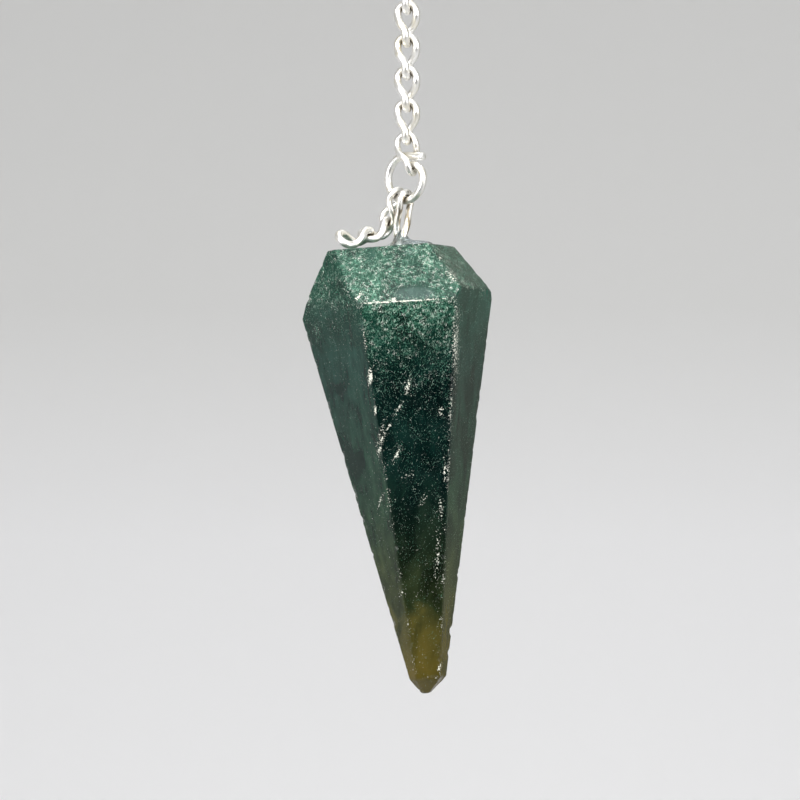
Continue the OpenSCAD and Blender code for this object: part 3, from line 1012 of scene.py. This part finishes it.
worn_colour = add(
    tree, "Mix",
    {"Factor": crushed.outputs[0], "A": flecked.outputs["Result"], "B": linear("#E6E6D8")},
    data_type="RGBA",
)
tree.links.new(worn_colour.outputs["Result"], shader.inputs["Base Color"])
print("nodes with worn places:", len(tree.nodes))

# %% [markdown]
# The polish is bright on the clear stone and dull on flecks and grains, which also
# stand a little out of the surface. A wide noise makes the polish itself uneven.

# %% Polish
haze = add(tree, "TexNoise", {"Vector": mm, "Scale": 0.9, "Detail": 3})
polish = add(
    tree, "MapRange",
    {
        "Value": haze.outputs[0], "From Min": 0.3, "From Max": 0.7,
        "To Min": 0.12, "To Max": 0.24,
    },
)
dull = add(tree, "Math", {0: fleck.outputs[0], 1: crushed.outputs[0]}, operation="MAXIMUM")
roughness = add(
    tree, "Math", {0: dull.outputs[0], 1: 0.3, 2: polish.outputs[0]}, operation="MULTIPLY_ADD"
)
tree.links.new(roughness.outputs[0], shader.inputs["Roughness"])
shader.inputs["IOR"].default_value = 1.54
shader.inputs["Specular IOR Level"].default_value = 0.26
pit_bump = add(
    tree, "Bump", {"Height": fleck.outputs[0], "Strength": 0.3, "Distance": 0.02 * MM}
)
grain_bump = add(
    tree, "Bump",
    {
        "Height": crushed.outputs[0], "Strength": 0.5, "Distance": 0.05 * MM,
        "Normal": pit_bump.outputs[0],
    },
)
tree.links.new(grain_bump.outputs[0], shader.inputs["Normal"])
print("nodes in the stone:", len(tree.nodes))

# %% [markdown]
# Facets have to stay flat to the eye and the rounded ridges between them soft, so
# only edges that turn more than some degrees are kept sharp. The five numbers go
# into attributes of the mesh, where the material finds them.

# %% Stone piece
SHARP = math.radians(24)
stone.normal_update()
for e in stone.edges:
    e.smooth = e.calc_face_angle(0) < SHARP
polished_stone = finished("polished_stone", stone, agate)
numbers = {"down": down, "ridge": ridge, "flecks": flecks, "scuff": scuff, "painted_sheen": painted_sheen}
for name, values in numbers.items():
    mark = polished_stone.data.attributes.new(name, "FLOAT", "POINT")
    mark.data.foreach_set("value", values.astype(np.float32))
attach(polished_stone, "drop")
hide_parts("stone")

# %% [markdown]
# ## Glue
# The eye is held by clear resin. It climbed the wires, ran out to the right and set
# there as a low round puddle. A disc of rings is drawn and each vertex is lifted to
# the height of the drop, so bead and puddle flow into one another.

# %% Resin drop
across = square_to(Vector((1, 0, 0)), STONE_AXIS)
through = (-STONE_AXIS).cross(across)
table = Matrix((across, through, -STONE_AXIS)).transposed().to_4x4()
table.translation = EYE_FOOT
# All in mm on the flat top, with x to the right of the eye's foot
BEAD_X, BEAD_R, BEAD_H, BEAD_SPREAD, BEAD_SHARE = 0.33, 1.7, 1.6, 0.75, 0.75
PUDDLE_X, PUDDLE_R, PUDDLE_H = 1.5, 2.0, 0.62
DROP_X = 0.9
# How far its rim and its underside stand off the stone
RIM_SEAT, SEAT = 0.05, 0.02
RINGS = 26
glue = bmesh.new()
spoke = glue.verts.new((0, 0, 0))
for i in range(1, RINGS + 1):
    spoke = draw_on(glue, spoke, (i / RINGS, 0, 0))
bmesh.ops.spin(
    glue, geom=glue.verts[:] + glue.edges[:], cent=(0, 0, 0), axis=(0, 0, 1),
    angle=math.radians(360), steps=72, use_merge=True,
)
bmesh.ops.remove_doubles(glue, verts=glue.verts, dist=1e-5)


def rim_reach(turn):
    """How far the glue's outline is from the middle, at a turn from the right."""
    way = Vector((math.cos(turn), math.sin(turn)))
    far = 0
    for x, r in ((BEAD_X, BEAD_R), (PUDDLE_X, PUDDLE_R)):
        offset = x - DROP_X
        span = r * r - (offset * way.y) ** 2
        if span > 0:
            far = max(far, offset * way.x + math.sqrt(span))
    return far * (1 + 0.03 * math.sin(3 * turn + 1) + 0.02 * math.sin(5 * turn))


def glue_height(x, y, inner):
    """Height of the drop over a place on the flat top."""
    bead = BEAD_H * math.exp(-((x - BEAD_X) ** 2 + y * y) / BEAD_SPREAD ** 2)
    puddle = PUDDLE_H * math.sqrt(max(0, 1 - inner ** 3))
    return puddle + bead * (1 - inner ** 4) * BEAD_SHARE


for vert in glue.verts:
    inner = min(1, vert.co.length)
    turn = math.atan2(vert.co.y, vert.co.x)
    reach = rim_reach(turn) * inner
    x, y = DROP_X + reach * math.cos(turn), reach * math.sin(turn)
    vert.co = Vector((x, y, RIM_SEAT + glue_height(x, y, inner)))
outline = [e for e in glue.edges if e.is_boundary]
skirt = bmesh.ops.extrude_edge_only(glue, edges=outline)["geom"]
for vert in (g for g in skirt if isinstance(g, bmesh.types.BMVert)):
    vert.co.z = SEAT
bmesh.ops.edgeloop_fill(glue, edges=[e for e in glue.edges if e.is_boundary])
bmesh.ops.transform(glue, matrix=Matrix.Scale(MM, 4) @ table, verts=glue.verts)

# %% [markdown]
# Set resin is clear with a faint blue cast. Light goes through it to the dark stone
# below, so mostly its highlights show.

# %% Resin material
resin, tree, shader, mm = new_material("clear_set_resin")
veil = add(tree, "TexNoise", {"Vector": mm, "Scale": 1.3, "Detail": 3})
cast = add(
    tree, "ValToRGB", {0: veil.outputs[0]}, stops=[(0.35, "#C9DEE2"), (0.7, "#F2F7F7")]
)
tree.links.new(cast.outputs[0], shader.inputs["Base Color"])
film = add(
    tree, "MapRange",
    {"Value": veil.outputs[0], "From Min": 0.3, "From Max": 0.7, "To Min": 0.04, "To Max": 0.14},
)
tree.links.new(film.outputs[0], shader.inputs["Roughness"])
shader.inputs["Transmission Weight"].default_value = 0.92
shader.inputs["IOR"].default_value = 1.5
ripple = add(tree, "TexNoise", {"Vector": mm, "Scale": 1.1, "Detail": 1})
skin = add(tree, "Bump", {"Height": ripple.outputs[0], "Strength": 0.3, "Distance": 0.1 * MM})
tree.links.new(skin.outputs[0], shader.inputs["Normal"])
resin_bead = finished("resin_bead", glue, resin)
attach(resin_bead, "drop")
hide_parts("glue_collar")
